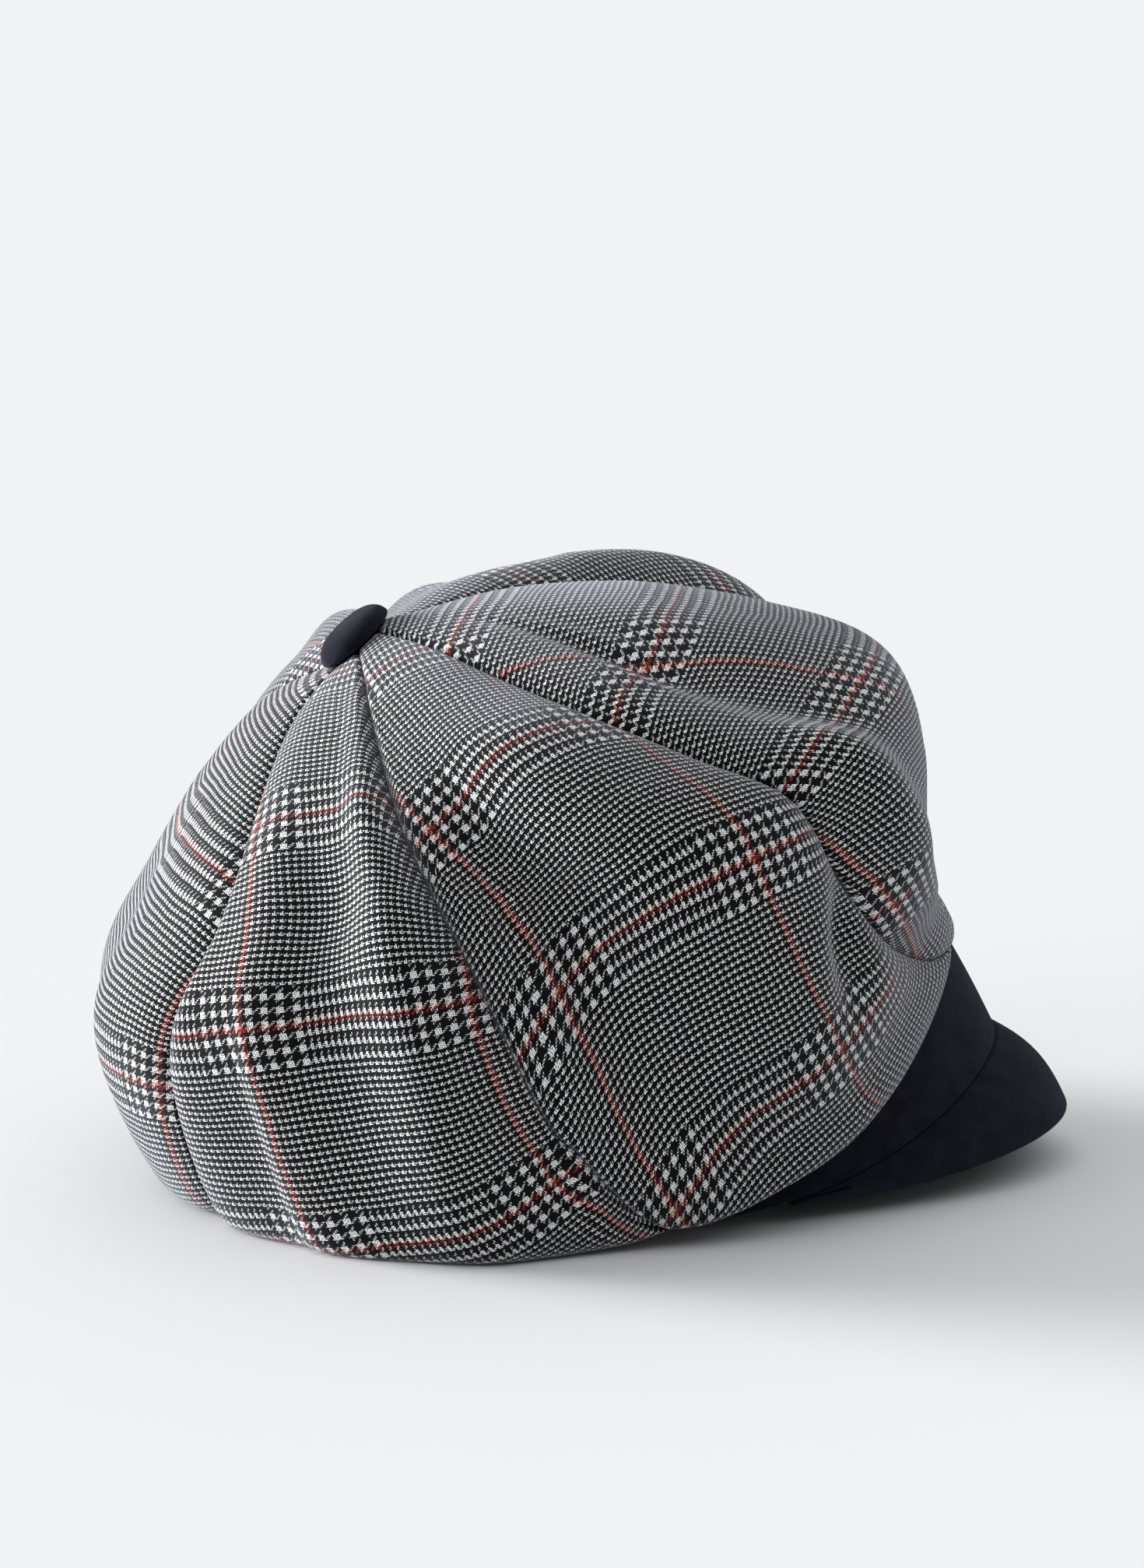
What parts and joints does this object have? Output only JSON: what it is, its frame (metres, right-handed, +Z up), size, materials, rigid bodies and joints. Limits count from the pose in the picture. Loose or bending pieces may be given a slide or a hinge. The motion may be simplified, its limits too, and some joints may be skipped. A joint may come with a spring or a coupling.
{
  "type": "newsboy cap",
  "caption": "Soft slouching cap sewn from wedge panels, with a covered button on top, a felt head band and a short steep felt peak; hollow and open below for a head.",
  "frame": {"origin": "on the surface the cap rests on, under the middle of its bounding box", "axes": "+X from the back of the cap towards the tip of the peak, +Y towards the far side of the pictured view, +Z up from the surface"},
  "size_m": [0.2924, 0.2402, 0.1725],
  "materials": {
    "check_wool": "woven wool twill in a black and off-white glen check with a dull red overcheck",
    "felt": "milled wool felt, very dark navy, matt with a short nap"
  },
  "bodies": {
    "root": {"crown_panel_1": "check_wool", "crown_panel_2": "check_wool", "crown_panel_3": "check_wool", "crown_panel_4": "check_wool", "crown_panel_5": "check_wool", "crown_panel_6": "check_wool", "button": "felt", "head_band": "felt", "peak": "felt"}
  },
  "joints": []
}
